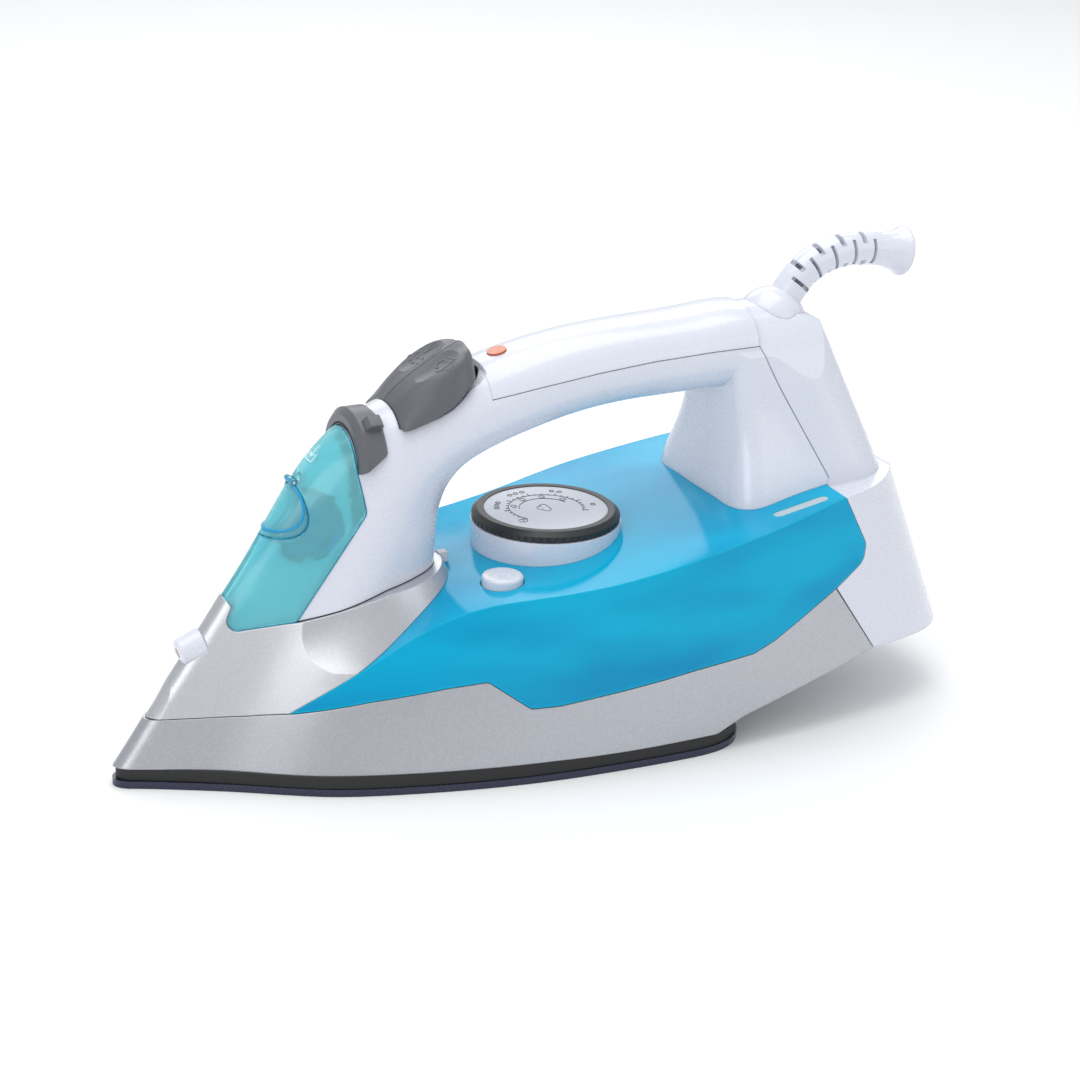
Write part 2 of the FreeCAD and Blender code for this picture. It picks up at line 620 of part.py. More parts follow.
def lid_hinge(radius, y0, y1):
    """Cylinder about the lid's hinge line."""
    x, _, z = along(along(LID_CENTRE, LID_UP, LID_RADIUS + 0.45), LID_NORMAL, 0.1)
    return rod((x, y0, z), (x, y1, z), radius)


def nozzle_form():
    axis = vec(*NOZZLE_TIP) - vec(*NOZZLE_BASE)
    cone = Part.makeCone(5.4, 4.4, axis.Length, vec(*NOZZLE_BASE), axis)
    return cone.makeFillet(1.2, [edge for edge in cone.Edges if edge.BoundBox.XMin < NOZZLE_TIP[0] - 0.5
                                 and edge.BoundBox.XMax < NOZZLE_TIP[0] + 3])


# ---- handle and covers -----------------------------------------------------------------------
def white_moulding():
    """Column, grip and rear post as one hollow shell, before the grip cover is split off."""
    beyond = prism([(x - 0.01, z) for x, z in COVER_SEAM] + [(230, 60), (230, 160)])
    post_hollow = tower_form(inset=WALL).common(box(90, 190, -60, 60, 50, 136))
    shape = handle_outer().cut(below_column(rise=SEAM)).cut(DECK).cut(rear_zone())
    shape = shape.cut(cover_zone(gap=-SEAM / 2)).cut(beyond).cut(HANDLE_IN).cut(post_hollow)
    shape = shape.cut(lever_slot()).cut(button_opening()).cut(control_frame())
    shape = shape.cut(lamp_rod(LAMP_RADIUS + 0.1, 6, 6)).cut(SOCKET)
    return max(shape.Solids, key=lambda solid: solid.Volume)


def grip_zone(gap=0.0):
    return prism(lifted(GRIP_SEAM, gap) + [(22.0, 165), (126.5, 165)])


def cover_with_lid():
    """The clear front cover, and the round filler lid cut out of the same wall."""
    cover = front_cover().cut(lever_slot())
    plug = lid_rod(LID_RADIUS, 9, 8)
    lid = cover.common(plug).cut(handle_form(grow=-1.1, last=7))
    cover = cover.cut(lid_rod(LID_RADIUS + LID_GAP, 9, 8))
    cover = cover.fuse([lid_hinge(LID_KNUCKLE, y, y + 1.5) for y in (-3.2, 1.7)])
    cover = cover.cut(lid_hinge(LID_KNUCKLE + 0.35, -1.7, 1.7)).cut(lid_hinge(LID_PIN_RADIUS, -3.2, 3.2))
    for y in (-3.5, 1.4):
        lid = lid.cut(lid_hinge(LID_KNUCKLE + 0.35, y, y + 2.1))
    lid = lid.fuse(lid_hinge(LID_KNUCKLE, -1.4, 1.4)).cut(lid_hinge(LID_PIN_RADIUS + SHAFT_FIT, -3, 3))
    return max(cover.Solids, key=lambda solid: solid.Volume), lid


def filler_funnel():
    """Bowl behind the lid and the spout that carries water down into the tank."""
    centre = vec(-42.6, 0, 86.4)
    bowl = Part.makeSphere(12.4, centre).cut(Part.makeSphere(11.2, centre))
    spout = rod(FUNNEL_TOP, FUNNEL_END, FUNNEL_RADIUS).cut(Part.makeSphere(11.8, centre))
    bowl = bowl.fuse(spout).cut(rod(FUNNEL_TOP, FUNNEL_END, FUNNEL_RADIUS - 1.2))
    mouth = rod(along(tuple(centre), LID_NORMAL, -3.0), along(tuple(centre), LID_NORMAL, 30.0), 40.0)
    inside = handle_form(grow=-WALL - 0.4, last=7)
    shape = bowl.cut(mouth).common(inside.fuse(box(-60, -10, -20, 20, 30, 62)))
    return max(shape.Solids, key=lambda solid: solid.Volume)


# ---- cord guard ------------------------------------------------------------------------------
GUARD_PATH = [(140, 0, 137), (144.2, 0, 143.4), (148.5, 0, 149.6), (155.0, 0, 155.8), (163.2, 0, 159.3),
              (171.0, 0, 160.4), (178.6, 0, 160.0), (186.2, 0, 158.9), (193.8, 0, 157.6)]
GUARD_AXIS = (0.9857, 0.0, -0.1683)   # direction of the straight end
SLOT_STEP = 8.2               # from one pair of slots to the next of the same family
SOCKET = Part.makeSphere(BALL_RADIUS + BALL_FIT, vec(*BALL_CENTRE))


def bell_mouth():
    """Trumpet end of the sleeve, turned about the straight end's axis."""
    end = GUARD_PATH[-1]
    profile = [(-11.0, 3.0), (-11.0, 5.9), (-7.5, 6.3), (-4.5, 7.0), (-2.0, 8.1), (-0.6, 9.0), (0.0, 9.0),
               (0.0, 3.0)]
    axis = vec(*GUARD_AXIS)
    up = vec(-GUARD_AXIS[2], 0, GUARD_AXIS[0])
    points = [vec(*end) + axis * distance + up * radius for distance, radius in profile]
    face = Part.Face(Part.makePolygon(points + [points[0]]))
    return face.revolve(vec(*end), axis, 360.0)


def cord_guard():
    """Ball, bent sleeve with alternating flex slots, and bell mouth, bored for the cord."""
    curve = Part.BSplineCurve()
    curve.interpolate([vec(*p) for p in GUARD_PATH])
    sleeve = pipe(GUARD_PATH, SLEEVE_RADIUS)
    shape = Part.makeSphere(BALL_RADIUS, vec(*BALL_CENTRE)).fuse(sleeve).fuse(bell_mouth())
    position = 16.4
    upright = False
    while position < curve.length() - 11.0:
        parameter = curve.parameterAtDistance(position)
        for slot in flex_slots(curve.value(parameter), curve.tangent(parameter)[0], upright):
            shape = shape.cut(slot)
        position += SLOT_STEP / 2
        upright = not upright
    drop = (BALL_CENTRE[0], 0, BALL_CENTRE[2] - 20)
    end = vec(*GUARD_PATH[-1])
    shape = shape.cut(pipe(GUARD_PATH, SLEEVE_BORE - 0.1)).cut(rod(drop, BALL_CENTRE, SLEEVE_BORE))
    shape = shape.cut(Part.makeSphere(SLEEVE_BORE + 0.4, vec(*BALL_CENTRE)))
    return shape.cut(Part.makeCylinder(SLEEVE_BORE, 14.0, end - vec(*GUARD_AXIS) * 12.0, vec(*GUARD_AXIS)))


def flex_slots(centre, tangent, upright):
    """Pair of cuts through the sleeve wall, above and below or on both sides."""
    normal = vec(-tangent.z, 0, tangent.x)
    width = 1.9 if upright else 1.3
    pair = []
    for side in (-1, 1):
        if upright:
            block = box(-width / 2, width / 2, -5.0, 5.0, 2.9, 9.0)
            turn = 0 if side > 0 else 180
        else:
            block = box(-width / 2, width / 2, -4.4, 4.4, 2.9, 9.0)
            turn = 90 * side
        block.rotate(vec(0, 0, 0), vec(1, 0, 0), turn)
        block.rotate(vec(0, 0, 0), vec(0, 1, 0), -math.degrees(math.atan2(tangent.z, tangent.x)))
        block.translate(centre)
        pair.append(block)
    return pair


def swivel_socket():
    """Seat under the ball, held inside the top of the rear post."""
    block = box(126.0, 153.0, -15.0, 15.0, 123.5, 129.0)
    inner = tower_form(inset=WALL).common(roof_form(inset=WALL))
    return block.common(inner).cut(SOCKET).cut(rod((140, 0, 120), (140, 0, 137), 6.0))


# ---- dial, window, self-clean button ---------------------------------------------------------
def dial_collar():
    shape = tube((DIAL_X, 0, 60), (DIAL_X, 0, 74.1), 26.65, 23.6)
    plate = tube((DIAL_X, 0, 71.6), (DIAL_X, 0, 74.1), 24.0, SHAFT_RADIUS + SHAFT_FIT)
    return shape.fuse(plate).cut(DECK)


def dial_ring():
    base = 74.1 + DIAL_SPIN_GAP
    lower = rod((DIAL_X, 0, base), (DIAL_X, 0, 76.4), DIAL_RADIUS)
    bevel = Part.makeCone(DIAL_RADIUS, DIAL_RADIUS - 1.9, DIAL_TOP - 76.4, vec(DIAL_X, 0, 76.4))
    recess = rod((DIAL_X, 0, DIAL_TOP - 1.4), (DIAL_X, 0, DIAL_TOP + 1), 22.0)
    bore = rod((DIAL_X, 0, 70), (DIAL_X, 0, 80), SHAFT_RADIUS)
    grips = []
    for i in range(60):
        angle = math.radians(6 * i)
        x, y = DIAL_X + (DIAL_RADIUS + 0.25) * math.cos(angle), (DIAL_RADIUS + 0.25) * math.sin(angle)
        grips.append(rod((x, y, base), (x, y, 76.2), 0.6))
    return lower.fuse(bevel).cut(recess).cut(bore).cut(Part.makeCompound(grips))


def dial_face():
    return rod((DIAL_X, 0, DIAL_TOP - 1.4), (DIAL_X, 0, DIAL_TOP - 0.3), 22.0)


def level_pill(grow, low, high):
    """Rounded strip lying on the tank's shoulder."""
    length, half = 17.5, 2.2 + grow
    ends = [rod((x, 0, low), (x, 0, high), half) for x in (-length / 2, length / 2)]
    shape = box(-length / 2, length / 2, -half, half, low, high).fuse(ends)
    shape.rotate(vec(0, 0, 0), vec(1, 0, 0), -3.0)
    shape.rotate(vec(0, 0, 0), vec(0, 1, 0), -10.6)
    shape.translate(vec(132.2, -41.0, 80.2))
    return shape


def tank_with_bosses():
    """Tank shell with the closed wells and tubes that let shafts pass through the water."""
    shape = tank()
    bx, by = CLEAN_BUTTON
    room = BODY_INNER.common(deck_form(drop=1.0)).common(box(-40, 153, -90, 90, 24, 100))
    wells = [rod((DIAL_X, 0, 24), (DIAL_X, 0, 90), 6.0), rod((*VALVE_ROD, 24), (*VALVE_ROD, 70), 3.6),
             rod((bx, by, 24), (bx, by, 60), 3.6), rod((bx, by, 50), (bx, by, 70), CLEAN_RADIUS + 1.9)]
    shape = shape.fuse([well.common(room) for well in wells])
    holes = [rod((DIAL_X, 0, 20), (DIAL_X, 0, 90), 4.2), rod((*VALVE_ROD, 20), (*VALVE_ROD, 80), 2.0),
             rod((bx, by, 20), (bx, by, 60), 2.0), rod((bx, by, 52), (bx, by, 80), CLEAN_RADIUS + 0.35),
             rod((*STEAM_TUBE, 20), (*STEAM_TUBE, 80), 1.8), rod(FUNNEL_TOP, FUNNEL_END, FUNNEL_RADIUS),
             level_pill(0.0, -1.0, 6.0)]
    return shape.cut(holes[0]).cut(holes[1:])


def self_clean_button():
    bx, by = CLEAN_BUTTON
    cap = rod((bx, by, 59.6), (bx, by, 67.2), CLEAN_RADIUS)
    rim = [edge for edge in cap.Edges if abs(edge.BoundBox.ZMin - 67.2) < 0.01]
    cap = cap.makeFillet(1.2, rim)
    return cap.fuse(rod((bx, by, 19.0), (bx, by, 59.6), 1.92))


# ---- sole, heater and chamber ------------------------------------------------------------------
SOLE_OUTLINE = [(-110, 0), (-109.2, 2.6), (-103, 6.6), (-96, 10), (-76, 20.5), (-58.5, 31), (-46.5, 37.6),
                (-27.5, 44.5), (-7.5, 49.8), (12, 53.8), (32, 56.5), (62, SOLE_HALF_WIDTH),
                (81, 58.4), (92, 57.4), (102, 53.0), (109, 43), (111.7, 24), (112, 0)]


def sole_form(inset, low, high):
    """Plate with the sole's outline, drawn in by inset."""
    half = []
    for x, y in SOLE_OUTLINE:
        shift = inset * (2.2 * clamp((-60.0 - x) / 50.0) - clamp((x - 80.0) / 20.0))
        half.append((x + shift, max(0.0, y - inset) if y else 0.0))
    kept = [p for i, p in enumerate(half) if p[1] > 0.8 or i in (0, len(half) - 1)]
    return Part.Face(mirrored(kept, low)).extrude(vec(0, 0, high - low))


def steam_holes():
    """Rows of outlets along both front edges and across the middle."""
    spots = [(x, side * (44.0 - 0.0062 * (x - 40.0) ** 2)) for x in (-58, -44, -30, -16, -2, 12, 26, 40)
             for side in (-1, 1) if abs(44.0 - 0.0062 * (x - 40.0) ** 2) > 4]
    spots += [(-86, 0), (-76, 0), (-66, 5), (-66, -5), (56, 42), (56, -42), (70, 38), (70, -38)]
    return Part.makeCompound([rod((x, y, -1), (x, y, 6), 1.6) for x, y in spots])


ELEMENT_PATH = [(92, 34, 13.6), (40, 35, 13.6), (0, 30, 13.6), (-34, 19, 13.6), (-52, 0, 13.6),
                (-34, -19, 13.6), (0, -30, 13.6), (40, -35, 13.6), (92, -34, 13.6)]
CHAMBER_SCREWS = [(-34, 0), (62, 17), (62, -17), (8, 22), (8, -22)]


def heater_casting():
    base = sole_form(5.6, SOLE_THICKNESS, BAND_TOP).fuse(sole_form(8.6, BAND_TOP, 13.0))
    base = base.common(box(-82, 120, -60, 60, 0, 20))
    pocket = sole_form(34.0, 7.0, 14.0).common(box(-38, 56, -30, 30, 0, 20))
    shape = base.cut(pocket).cut(pipe(ELEMENT_PATH, 3.4))
    for x, y in CHAMBER_SCREWS:
        shape = shape.fuse(rod((x, y, 6), (x, y, 13.0), 4.0)).cut(rod((x, y, 8), (x, y, 14), 1.5))
    return shape


def chamber_plate(low, high):
    """Plate over the steam chamber with clearance for its screws and inlets."""
    shape = sole_form(29.0, low, high).common(box(-39, 72, -26, 26, 0, 30))
    for x, y in CHAMBER_SCREWS:
        shape = shape.cut(rod((x, y, 0), (x, y, 30), 1.7))
    for x, y, radius in ((*VALVE_ROD, 3.0), (*STEAM_TUBE, 1.8), (22.0, -20.0, 1.5)):
        shape = shape.cut(rod((x, y, 0), (x, y, 30), radius))
    return shape


def screws(spots, low, high, radius, head_radius, head_low, head_high):
    """Upright screws with hex sockets, heads between head_low and head_high."""
    shapes = []
    for x, y in spots:
        shape = rod((x, y, low), (x, y, high), radius)
        shape = shape.fuse(rod((x, y, head_low), (x, y, head_high), head_radius))
        socket = Part.makeBox(3.2, 0.8, 0.8, vec(x - 1.6, y - 0.4, head_high - 0.8))
        shapes.append(shape.cut(socket))
    return Part.makeCompound(shapes)


def tank_floor():
    band = skirt_zone(rise=SEAM + WALL).cut(skirt_zone(rise=SEAM + 0.02))
    shape = BODY_INNER.common(band).common(box(-40, 150, -90, 90, 10, 60))
    bx, by = CLEAN_BUTTON
    for x, y, radius in ((DIAL_X, 0, 6.0), (*VALVE_ROD, 3.6), (bx, by, 3.6), (*STEAM_TUBE, 1.8)):
        shape = shape.cut(rod((x, y, 0), (x, y, 80), radius))
    return shape


def heat_shield():
    shape = sole_form(9.0, 20.0, 21.0).common(body_form(inset=WALL + 1.2))
    shape = shape.common(box(-66, 120, -60, 60, 0, 30))
    bx, by = CLEAN_BUTTON
    for x, y, radius in ((DIAL_X, 0, 4.4), (*VALVE_ROD, 4.0), (bx, by, 4.0), (*STEAM_TUBE, 1.8)):
        shape = shape.cut(rod((x, y, 0), (x, y, 80), radius))
    return shape


def cradle():
    """Posts between the casting and the heat shield."""
    spots = [(-62, 0), (86, 20), (86, -20), (20, 43), (0, -41)]
    return Part.makeCompound([tube((x, y, 13.0), (x, y, 20.0), 3.4, 1.4) for x, y in spots])


def thermostat():
    base = box(40, 66, -9, 9, 16.4, 18.2)
    tower = rod((DIAL_X, 0, 18.2), (DIAL_X, 0, 19.2), 5.0)
    return base.fuse(tower)


def supply_wire(side):
    """Insulated wire from the cord's swivel down to the terminal block."""
    route = ((140, 3.0, 118), (149, 4.8, 100), (160, 5.4, 80), (177, 5.4, 58))
    return pipe([(x, side * y, z) for x, y, z in route], 1.3)


def build():
    """Every node of the iron by name."""
    white = white_moulding()
    cover, lid = cover_with_lid()
    nozzle_axis = (vec(*NOZZLE_TIP) - vec(*NOZZLE_BASE)).normalize()
    nozzle_bore = rod(NOZZLE_BASE, tuple(vec(*NOZZLE_TIP) + nozzle_axis), 1.8)
    tip = tuple(vec(*NOZZLE_TIP) - nozzle_axis * 0.4)
    jet_back = tuple(vec(*NOZZLE_TIP) - nozzle_axis * 5.0)
    passage = box(-52, 1, -11, 11, 40, 90)
    shroud = front_shroud().cut(nozzle_form()).cut(passage).cut(cover).cut(pipe(SPRAY_PATH, 2.1))
    shroud = max(shroud.Solids, key=lambda solid: solid.Volume)
    spray_line = pipe(SPRAY_PATH, 1.8, 1.1)
    steam_line = pipe(STEAM_PATH, 1.8, 1.1).fuse(tube((*STEAM_TUBE, 15.0), (*STEAM_TUBE, 60), 1.8, 1.1))
    bx, by = CLEAN_BUTTON
    floor = tank_floor()
    nodes = {
        "soleplate": sole_form(0.0, 0.0, SOLE_THICKNESS).cut(steam_holes()),
        "base_ring": sole_form(0.5, SOLE_THICKNESS, BAND_TOP).cut(sole_form(5.6, 2, 8)),
        "heater_casting": heater_casting(),
        "heating_element": pipe(ELEMENT_PATH, 3.4),
        "chamber_gasket": chamber_plate(13.0, 14.0).cut(box(-12, 52, -14, 14, 12, 15)),
        "chamber_cover": chamber_plate(14.0, 15.0),
        "chamber_screws": screws(CHAMBER_SCREWS, 8.2, 15.0, 1.5, 2.9, 15.0, 16.6),
        "thermostat": thermostat(),
        "thermal_fuse": rod((70, 10, 18.2), (84, 10, 18.2), 1.7),
        "shield_posts": cradle(),
        "heat_shield": heat_shield(),
        "lower_skirt": lower_skirt(),
        "front_shroud": shroud,
        "tank": tank_with_bosses(),
        "tank_floor": floor,
        "level_window": level_pill(0.0, -1.0, 1.0),
        "handle_shell": white.cut(grip_zone(gap=-SEAM / 2)),
        "handle_cover": white.common(grip_zone(gap=SEAM / 2)),
        "front_cover": cover,
        "rear_cover": rear_cover().cut(SOCKET),
        "filler_lid": lid,
        "lid_pin": lid_hinge(LID_PIN_RADIUS, -3.2, 3.2),
        "filler_funnel": filler_funnel(),
        "steam_button": thumb_button(-1),
        "spray_button": thumb_button(1),
        "control_frame": control_frame(),
        "button_pin": button_pin(PIVOT_RADIUS),
        "pump_frame": pump_frame(),
        "steam_lever": steam_lever(),
        "lever_pin": lever_pin(),
        "valve_rod": rod((*VALVE_ROD, 16.0), (*VALVE_ROD, 100.0), 1.92),
        "valve_seat": tube((*VALVE_ROD, 14.0), (*VALVE_ROD, 15.9), 3.0, 1.0),
        "steam_tube": steam_line,
        "spray_tube": spray_line,
        "spray_nozzle": nozzle_form().cut(nozzle_bore),
        "nozzle_jet": rod(jet_back, tip, 1.8).cut(rod(jet_back, tip, 0.5)),
        "dial_collar": dial_collar(),
        "dial_ring": dial_ring(),
        "dial_face": dial_face(),
        "dial_shaft": rod((DIAL_X, 0, 19.6), (DIAL_X, 0, DIAL_TOP - 1.4), SHAFT_RADIUS),
        "dial_pointer": box(9.6, 13.4, -1.6, 1.6, 62, 67.4).cut(DECK).cut(SHOULDER_OUT),
        "self_clean_button": self_clean_button(),
        "self_clean_spring": coil((bx, by), 52.2, 59.4, 4.2, 0.4, 4),
        "pilot_lens": lamp_rod(LAMP_RADIUS, 2.6, 1.0),
        "pilot_lamp": lamp_rod(1.6, 9.0, -2.8),
        "cord_guard": cord_guard(),
        "swivel_socket": swivel_socket(),
        "terminal_block": box(170, 184, -13, 13, 46, 58).cut(box(173, 181, -9, -2, 50, 60)).cut(
            box(173, 181, 2, 9, 50, 60)),
    }
    for side, name in ((-1, "steam"), (1, "spray")):
        outlet = SPRAY_PATH if side > 0 else STEAM_PATH
        nodes[name + "_pump"] = pump_cylinder(side).cut(pipe(outlet, 1.8))
        nodes[name + "_piston"] = pump_piston(side)
        nodes[name + "_spring"] = pump_spring(side)
    nodes["supply_wires"] = Part.makeCompound([supply_wire(-1), supply_wire(1)])
    return nodes


for node, shape in build().items():
    save(node, shape)
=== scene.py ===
import math

import bmesh
import bpy
from mathutils import Matrix, Vector


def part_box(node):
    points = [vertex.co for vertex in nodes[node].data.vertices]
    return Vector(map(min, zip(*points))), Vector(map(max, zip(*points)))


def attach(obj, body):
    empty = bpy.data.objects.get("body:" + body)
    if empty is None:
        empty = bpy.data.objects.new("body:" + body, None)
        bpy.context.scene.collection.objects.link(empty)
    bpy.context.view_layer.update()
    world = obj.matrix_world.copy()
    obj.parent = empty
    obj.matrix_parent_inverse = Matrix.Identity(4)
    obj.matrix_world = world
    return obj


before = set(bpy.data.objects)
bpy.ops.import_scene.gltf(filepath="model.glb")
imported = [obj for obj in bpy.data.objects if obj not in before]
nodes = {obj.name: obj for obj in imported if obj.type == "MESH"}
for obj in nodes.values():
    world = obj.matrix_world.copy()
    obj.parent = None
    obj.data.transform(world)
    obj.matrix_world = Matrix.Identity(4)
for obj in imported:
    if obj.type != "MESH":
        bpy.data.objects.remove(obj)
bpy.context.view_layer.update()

MM = 0.001

# Iron: steam iron with the nose towards -X, +Z up, the sole's working face on Z = 0.
# Most places below are worked out from the frame's own boxes; the lights and camera are given.


def middle(name):
    low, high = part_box(name)
    return (Vector(low) + Vector(high)) / 2


def top_of(name):
    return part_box(name)[1][2]


# ---- material tools ------------------------------------------------------------------------------
class Shader:
    """Small helper round one node tree with a Principled shader."""

    def __init__(self, name):
        self.material = bpy.data.materials.new(name)
        self.material.use_nodes = True
        self.tree = self.material.node_tree
        self.principled = self.tree.nodes["Principled BSDF"]
        self.place = self.tree.nodes.new("ShaderNodeTexCoord").outputs["Object"]

    def node(self, kind, inputs=None, **settings):
        made = self.tree.nodes.new(kind)
        for key, value in settings.items():
            setattr(made, key, value)
        for key, value in (inputs or {}).items():
            if isinstance(value, bpy.types.NodeSocket):
                self.tree.links.new(value, made.inputs[key])
            else:
                made.inputs[key].default_value = value
        return made

    def set(self, **values):
        for key, value in values.items():
            socket = self.principled.inputs[key.replace("_", " ")]
            if isinstance(value, bpy.types.NodeSocket):
                self.tree.links.new(value, socket)
            else:
                socket.default_value = value

    def noise(self, scale, detail=2.0, roughness=0.5, stretch=None):
        place = self.place
        if stretch:
            place = self.node("ShaderNodeMapping", {"Vector": place, "Scale": stretch}).outputs[0]
        inputs = {"Vector": place, "Scale": scale, "Detail": detail, "Roughness": roughness}
        return self.node("ShaderNodeTexNoise", inputs).outputs["Fac"]

    def spread(self, value, low, high, start=0.0, stop=1.0):
        """value, stretched from start..stop to low..high."""
        inputs = {"Value": value, "From Min": start, "From Max": stop, "To Min": low, "To Max": high}
        return self.node("ShaderNodeMapRange", inputs, clamp=True).outputs[0]

    def mix(self, share, first, second):
        made = self.node("ShaderNodeMix", data_type="RGBA")
        for index, value in ((0, share), (6, first), (7, second)):
            if isinstance(value, bpy.types.NodeSocket):
                self.tree.links.new(value, made.inputs[index])
            else:
                made.inputs[index].default_value = value
        return made.outputs[2]

    def math(self, operation, first, second=0.0):
        made = self.node("ShaderNodeMath", operation=operation)
        for index, value in enumerate((first, second)):
            if isinstance(value, bpy.types.NodeSocket):
                self.tree.links.new(value, made.inputs[index])
            else:
                made.inputs[index].default_value = value
        return made.outputs[0]

    def along(self, axis):
        """Object coordinate along X, Y or Z, in metres."""
        parts = self.node("ShaderNodeSeparateXYZ", {"Vector": self.place})
        return parts.outputs[axis]

    def relief(self, height, distance, strength=1.0, edge=0.0):
        """Bump from height, over softened edges of the given radius."""
        inputs = {"Height": height, "Distance": distance, "Strength": strength}
        if edge:
            inputs["Normal"] = self.node("ShaderNodeBevel", {"Radius": edge}, samples=6).outputs[0]
        self.set(Normal=self.node("ShaderNodeBump", inputs).outputs[0])


def tone(red, green, blue):
    return (red, green, blue, 1.0)


def gloss_white():
    s = Shader("gloss_white_plastic")
    cloud = s.noise(22.0, 3.0)
    s.set(Base_Color=s.mix(cloud, tone(0.665, 0.685, 0.765), tone(0.70, 0.72, 0.80)))
    s.set(Roughness=s.spread(s.noise(900.0, 2.0), 0.24, 0.30, 0.3, 0.7))
    s.set(Coat_Weight=0.5, Coat_Roughness=0.12, Subsurface_Weight=0.05, Subsurface_Scale=0.002)
    s.relief(s.noise(700.0, 2.0), 0.00001, 0.12, 0.0006)
    return s.material


def lit_and_shaded_silver(lift):
    """Silver paint with fine flakes; lift brightens it as painted light, making lit and shaded copies of one
    paint.
    """
    s = Shader("silver_paint_%d" % round(lift * 100))
    flakes = s.node("ShaderNodeTexVoronoi", {"Vector": s.place, "Scale": 2600.0}).outputs["Color"]
    sparkle = s.spread(s.node("ShaderNodeSeparateColor", {"Color": flakes}).outputs[0], 0.0, 1.0, 0.5, 1.0)
    dark = tone(0.40 + lift, 0.41 + lift, 0.44 + lift)
    light = tone(0.46 + lift, 0.47 + lift, 0.50 + lift)
    s.set(Base_Color=s.mix(sparkle, dark, light), Metallic=0.8)
    s.set(Roughness=s.spread(s.noise(1800.0, 2.0), 0.30, 0.36, 0.3, 0.7))
    s.set(Coat_Weight=0.35, Coat_Roughness=0.18)
    s.relief(s.math("ADD", s.noise(2400.0, 1.0), sparkle), 0.00001, 0.15, 0.0005)
    return s.material


def clear_blue(name, deep, bright, painted_edge_tone, see_through, cloud_scale=26.0):
    """Tinted clear moulding: cloudy inside, painted shade low down, and a painted edge tone along its moulded
    edges (painted highlight on the tank and funnel, painted shade on the cover).
    """
    s = Shader(name)
    cloud = s.noise(cloud_scale, 2.0, 0.45, (0.6, 1.0, 1.8))
    # Painted shade: darker towards the bottom of the moulding, lighter higher up where the overhead light
    # falls.
    painted_low_shade = s.spread(s.along("Z"), 0.45, 1.0, 0.024, 0.050)
    cloud_and_painted_shade = s.math("MULTIPLY", s.spread(cloud, 0.60, 1.0, 0.34, 0.56), painted_low_shade)
    # Painted edge tone: a painted highlight along the tank's and funnel's edges, painted shade along the
    # cover's edges.
    softened = s.node("ShaderNodeBevel", {"Radius": 0.0012}, samples=6).outputs[0]
    true = s.node("ShaderNodeNewGeometry").outputs["Normal"]
    facing = s.node("ShaderNodeVectorMath", {0: softened, 1: true}, operation="DOT_PRODUCT").outputs["Value"]
    edge = s.spread(facing, 1.0, 0.0, 0.80, 0.99)
    s.set(Base_Color=s.mix(edge, s.mix(cloud_and_painted_shade, deep, bright), painted_edge_tone))
    s.set(Roughness=s.spread(s.noise(500.0, 2.0), 0.08, 0.16, 0.3, 0.7))
    s.set(Transmission_Weight=see_through, IOR=1.45, Specular_IOR_Level=0.2)
    s.relief(s.noise(120.0, 2.0), 0.00004, 0.25, 0.0008)
    return s.material


def satin_grey():
    s = Shader("satin_grey_plastic")
    grain = s.noise(1600.0, 3.0)
    s.set(Base_Color=s.mix(grain, tone(0.085, 0.09, 0.102), tone(0.125, 0.13, 0.145)))
    s.set(Roughness=s.spread(grain, 0.30, 0.44, 0.3, 0.7), Coat_Weight=0.15, Coat_Roughness=0.3)
    s.relief(grain, 0.00002, 0.5, 0.0006)
    return s.material


def black_plastic(name, shade, roughness):
    s = Shader(name)
    grain = s.noise(1100.0, 3.0)
    s.set(Base_Color=s.mix(grain, tone(shade, shade, shade * 1.05), tone(shade * 2, shade * 2, shade * 2.1)))
    s.set(Roughness=s.spread(grain, roughness - 0.06, roughness + 0.06, 0.3, 0.7))
    s.relief(grain, 0.00002, 0.5, 0.0004)
    return s.material


def sole_coating():
    s = Shader("ceramic_sole_coating")
    grain = s.noise(1500.0, 2.0)
    s.set(Base_Color=s.mix(grain, tone(0.010, 0.012, 0.038), tone(0.020, 0.022, 0.060)), Metallic=0.25)
    s.set(Roughness=s.spread(grain, 0.22, 0.34, 0.3, 0.7), Coat_Weight=0.4, Coat_Roughness=0.1)
    s.relief(grain, 0.00001, 0.5, 0.0003)
    return s.material


def metal(name, colour, roughness, stretch=None):
    s = Shader(name)
    grain = s.noise(900.0, 3.0, 0.6, stretch)
    shade = tuple(c * 0.82 for c in colour)
    s.set(Base_Color=s.mix(grain, tone(*shade), tone(*colour)), Metallic=1.0)
    s.set(Roughness=s.spread(grain, roughness - 0.08, roughness + 0.08, 0.3, 0.7))
    s.relief(grain, 0.00002, 0.5)
    return s.material


def dull(name, colour, roughness=0.55, through=0.0):
    s = Shader(name)
    grain = s.noise(800.0, 3.0)
    shade = tuple(c * 0.86 for c in colour)
    s.set(Base_Color=s.mix(grain, tone(*shade), tone(*colour)), Transmission_Weight=through)
    s.set(Roughness=s.spread(grain, roughness - 0.07, roughness + 0.07, 0.3, 0.7))
    s.relief(grain, 0.00003, 0.5, 0.0003)
    return s.material


def lamp_lens():
    s = Shader("orange_lens")
    cells = s.node("ShaderNodeTexVoronoi", {"Vector": s.place, "Scale": 900.0}).outputs["Distance"]
    s.set(Base_Color=s.mix(cells, tone(0.66, 0.13, 0.003), tone(0.44, 0.07, 0.002)))
    s.set(Roughness=s.spread(cells, 0.12, 0.25), Transmission_Weight=0.1, IOR=1.5)
    s.set(Emission_Color=tone(1.0, 0.22, 0.01), Emission_Strength=0.05, Coat_Weight=0.3)
    s.relief(cells, 0.00004, 0.4, 0.0003)
    return s.material


